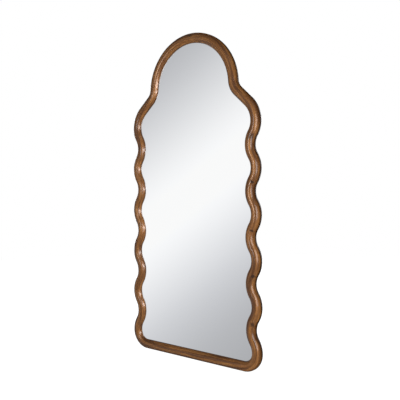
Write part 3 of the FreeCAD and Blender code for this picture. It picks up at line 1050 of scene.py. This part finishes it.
class MIRROR_OT_bumpers(Operator):
    """Mould the rubber wall bumpers with their dished ends"""

    bl_idname = "mirror.bumpers"
    bl_label = "Wall Bumpers"

    def execute(self, context):
        rubber = rubber_finish("wall_bumper_rubber", context.scene.arched_mirror.colours)
        bumpers = bmesh.new()
        for points in solids_of("wall_bumpers"):
            wall_bumper(bumpers, points)
        smoothed("wall_bumpers_moulded", bumpers, "wall_bumpers", rubber)
        return {"FINISHED"}


def soft_light(lamp, middle, power, receivers):
    """Soft light that faces the mirror; one in gloss alone shows in the lacquer but casts no light."""
    light = bpy.data.lights.new(lamp.name + "_light", "AREA")
    light.shape = "RECTANGLE"
    light.size = lamp.width
    light.size_y = lamp.height
    light.energy = power
    turn = math.radians(lamp.turn)
    away = Vector((lamp.reach * math.sin(turn), -lamp.reach * math.cos(turn), lamp.rise))
    holder = bpy.data.objects.new(light.name, light)
    holder.location = middle + away
    holder.rotation_euler = (-away).to_track_quat("-Z", "Y").to_euler()
    holder.visible_camera = False
    holder.visible_diffuse = not lamp.only_gloss
    holder.light_linking.receiver_collection = receivers
    bpy.context.scene.collection.objects.link(holder)


def lit_pieces():
    """Collections of the pieces that a lamp lights; the others never see it, nor its mirror image."""
    groups = {name: bpy.data.collections.new(name) for name in LIT_GROUPS}
    for piece in bpy.context.scene.objects:
        if piece.type != "MESH" or "glass" in piece.name:
            continue
        groups["all_but_glass"].objects.link(piece)
        if piece.name.endswith("_left_wood"):
            groups["left_boards"].objects.link(piece)
            continue
        groups["all_but_left"].objects.link(piece)
        if piece.name.endswith("_wood"):
            groups["other_boards"].objects.link(piece)
    return groups


def studio_world(studio):
    """White behind the object; clear reflections show a pale studio with one soft bright band across it."""
    world = bpy.data.worlds.new("studio")
    bpy.context.scene.world = world
    tree = NodeTree(world)

    def glow(shade, strength):
        return tree.node("ShaderNodeBackground", {"Color": shade, "Strength": strength}).outputs[0]

    def either(factor, first, second):
        return tree.node("ShaderNodeMixShader", {0: factor, 1: first, 2: second}).outputs[0]

    sight = tree.node("ShaderNodeTexCoord").outputs["Generated"]
    greys = []
    for position, grey in STUDIO_GREYS:
        cool = COOL_TINT if grey < 1 else 0.0
        greys.append((position, (grey * (1 - cool), grey * (1 - cool / 2), grey * (1 + cool))))
    front = tree.ramp(tree.spread(tree.dot(sight, BAND_AXIS), *BAND_SPAN), greys, "B_SPLINE")
    room = tree.mix(tree.spread(tree.split(sight)["Y"], *REAR_SPAN), front, REAR_GREY)
    path = tree.node("ShaderNodeLightPath").outputs
    clear = tree.math("MAXIMUM", path["Is Glossy Ray"], path["Is Transmission Ray"])
    clear = tree.times(clear, tree.math("LESS_THAN", path["Diffuse Depth"], 0.5))
    white = (1, 1, 1)
    seen = either(clear, glow(white, studio.ambient), glow(room, 1.0))
    tree.node("ShaderNodeOutputWorld", {"Surface": either(path["Is Camera Ray"], seen, glow(white, 1.0))})


def studio_floor(studio):
    """Pale floor below the hung mirror; to the camera it fades into the white background."""
    disc = bmesh.new()
    bmesh.ops.create_circle(disc, cap_ends=True, segments=96, radius=FLOOR_RADIUS)
    mesh = bpy.data.meshes.new("floor")
    disc.to_mesh(mesh)
    disc.free()
    floor = bpy.data.objects.new("floor", mesh)
    floor.location.z = CAD_LOW.z - studio.floor_drop
    bpy.context.scene.collection.objects.link(floor)
    floor.visible_glossy = False

    tree = Finish("pale_floor")
    place = tree.place()
    speckle = tree.noise(place, (40, 40, 40), 3)
    shade = tree.mix(tree.fade(speckle, 0.3, 0.7, 0, 0.2), studio.floor, toned(studio.floor, 0.98))
    camera = tree.node("ShaderNodeLightPath").outputs["Is Camera Ray"]
    shade = tree.mix(camera, shade, toned(studio.floor, 0.25))
    lift = tree.times(tree.fade(tree.distance(place), *FLOOR_FADE, *FLOOR_GLOW), camera)
    material = tree.surface(Base_Color=shade, Roughness=0.9, Emission_Color=(1, 1, 1), Emission_Strength=lift)
    mesh.materials.append(material)


class MIRROR_OT_studio(Operator):
    """Make the background, the floor, the soft lights and the camera"""

    bl_idname = "mirror.studio"
    bl_label = "Studio"

    def execute(self, context):
        scene = context.scene
        studio = scene.arched_mirror.studio
        scene.view_settings.view_transform = "Standard"
        studio_world(studio)
        studio_floor(studio)
        middle = (CAD_LOW + CAD_HIGH) / 2
        groups = lit_pieces()
        for lamp in LAMPS:
            soft_light(lamp, middle, getattr(studio, lamp.name + "_power"), groups.get(lamp.lights))

        lens = bpy.data.cameras.new("camera")
        lens.lens = studio.camera_lens
        camera = bpy.data.objects.new("camera", lens)
        camera.location = studio.camera_place
        aim = Euler((UP - studio.camera_pitch, 0, studio.camera_yaw)).to_matrix()
        camera.rotation_euler = (aim @ Euler((0, 0, -studio.camera_roll)).to_matrix()).to_euler()
        scene.collection.objects.link(camera)
        scene.camera = camera
        return {"FINISHED"}


OPERATORS = (
    MIRROR_OT_frame_boards,
    MIRROR_OT_glass,
    MIRROR_OT_backing,
    MIRROR_OT_hangers,
    MIRROR_OT_screws,
    MIRROR_OT_bumpers,
    MIRROR_OT_studio,
)


class MIRROR_PT_panel(Panel):
    """Lists the steps that dress the mirror"""

    bl_idname = "MIRROR_PT_panel"
    bl_label = "Arched Mirror"
    bl_space_type = "VIEW_3D"
    bl_region_type = "UI"
    bl_category = "Mirror"

    def draw(self, context):
        for operator in OPERATORS:
            self.layout.operator(operator.bl_idname)
        settings = context.scene.arched_mirror
        for group in (settings.sizes, settings.colours, settings.studio):
            box = self.layout.box()
            for name in group.__annotations__:
                box.prop(group, name)


CLASSES = (MirrorSizes, MirrorColours, StudioSettings, MirrorSettings, *OPERATORS, MIRROR_PT_panel)


def register():
    for made in CLASSES:
        bpy.utils.register_class(made)
    bpy.types.Scene.arched_mirror = PointerProperty(type=MirrorSettings)


def unregister():
    del bpy.types.Scene.arched_mirror
    for made in reversed(CLASSES):
        bpy.utils.unregister_class(made)


def main():
    register()
    bpy.ops.mirror.frame_boards()
    bpy.ops.mirror.glass()
    bpy.ops.mirror.backing()
    bpy.ops.mirror.hangers()
    bpy.ops.mirror.screws()
    bpy.ops.mirror.bumpers()
    bpy.ops.mirror.studio()


if __name__ == "__main__":
    main()
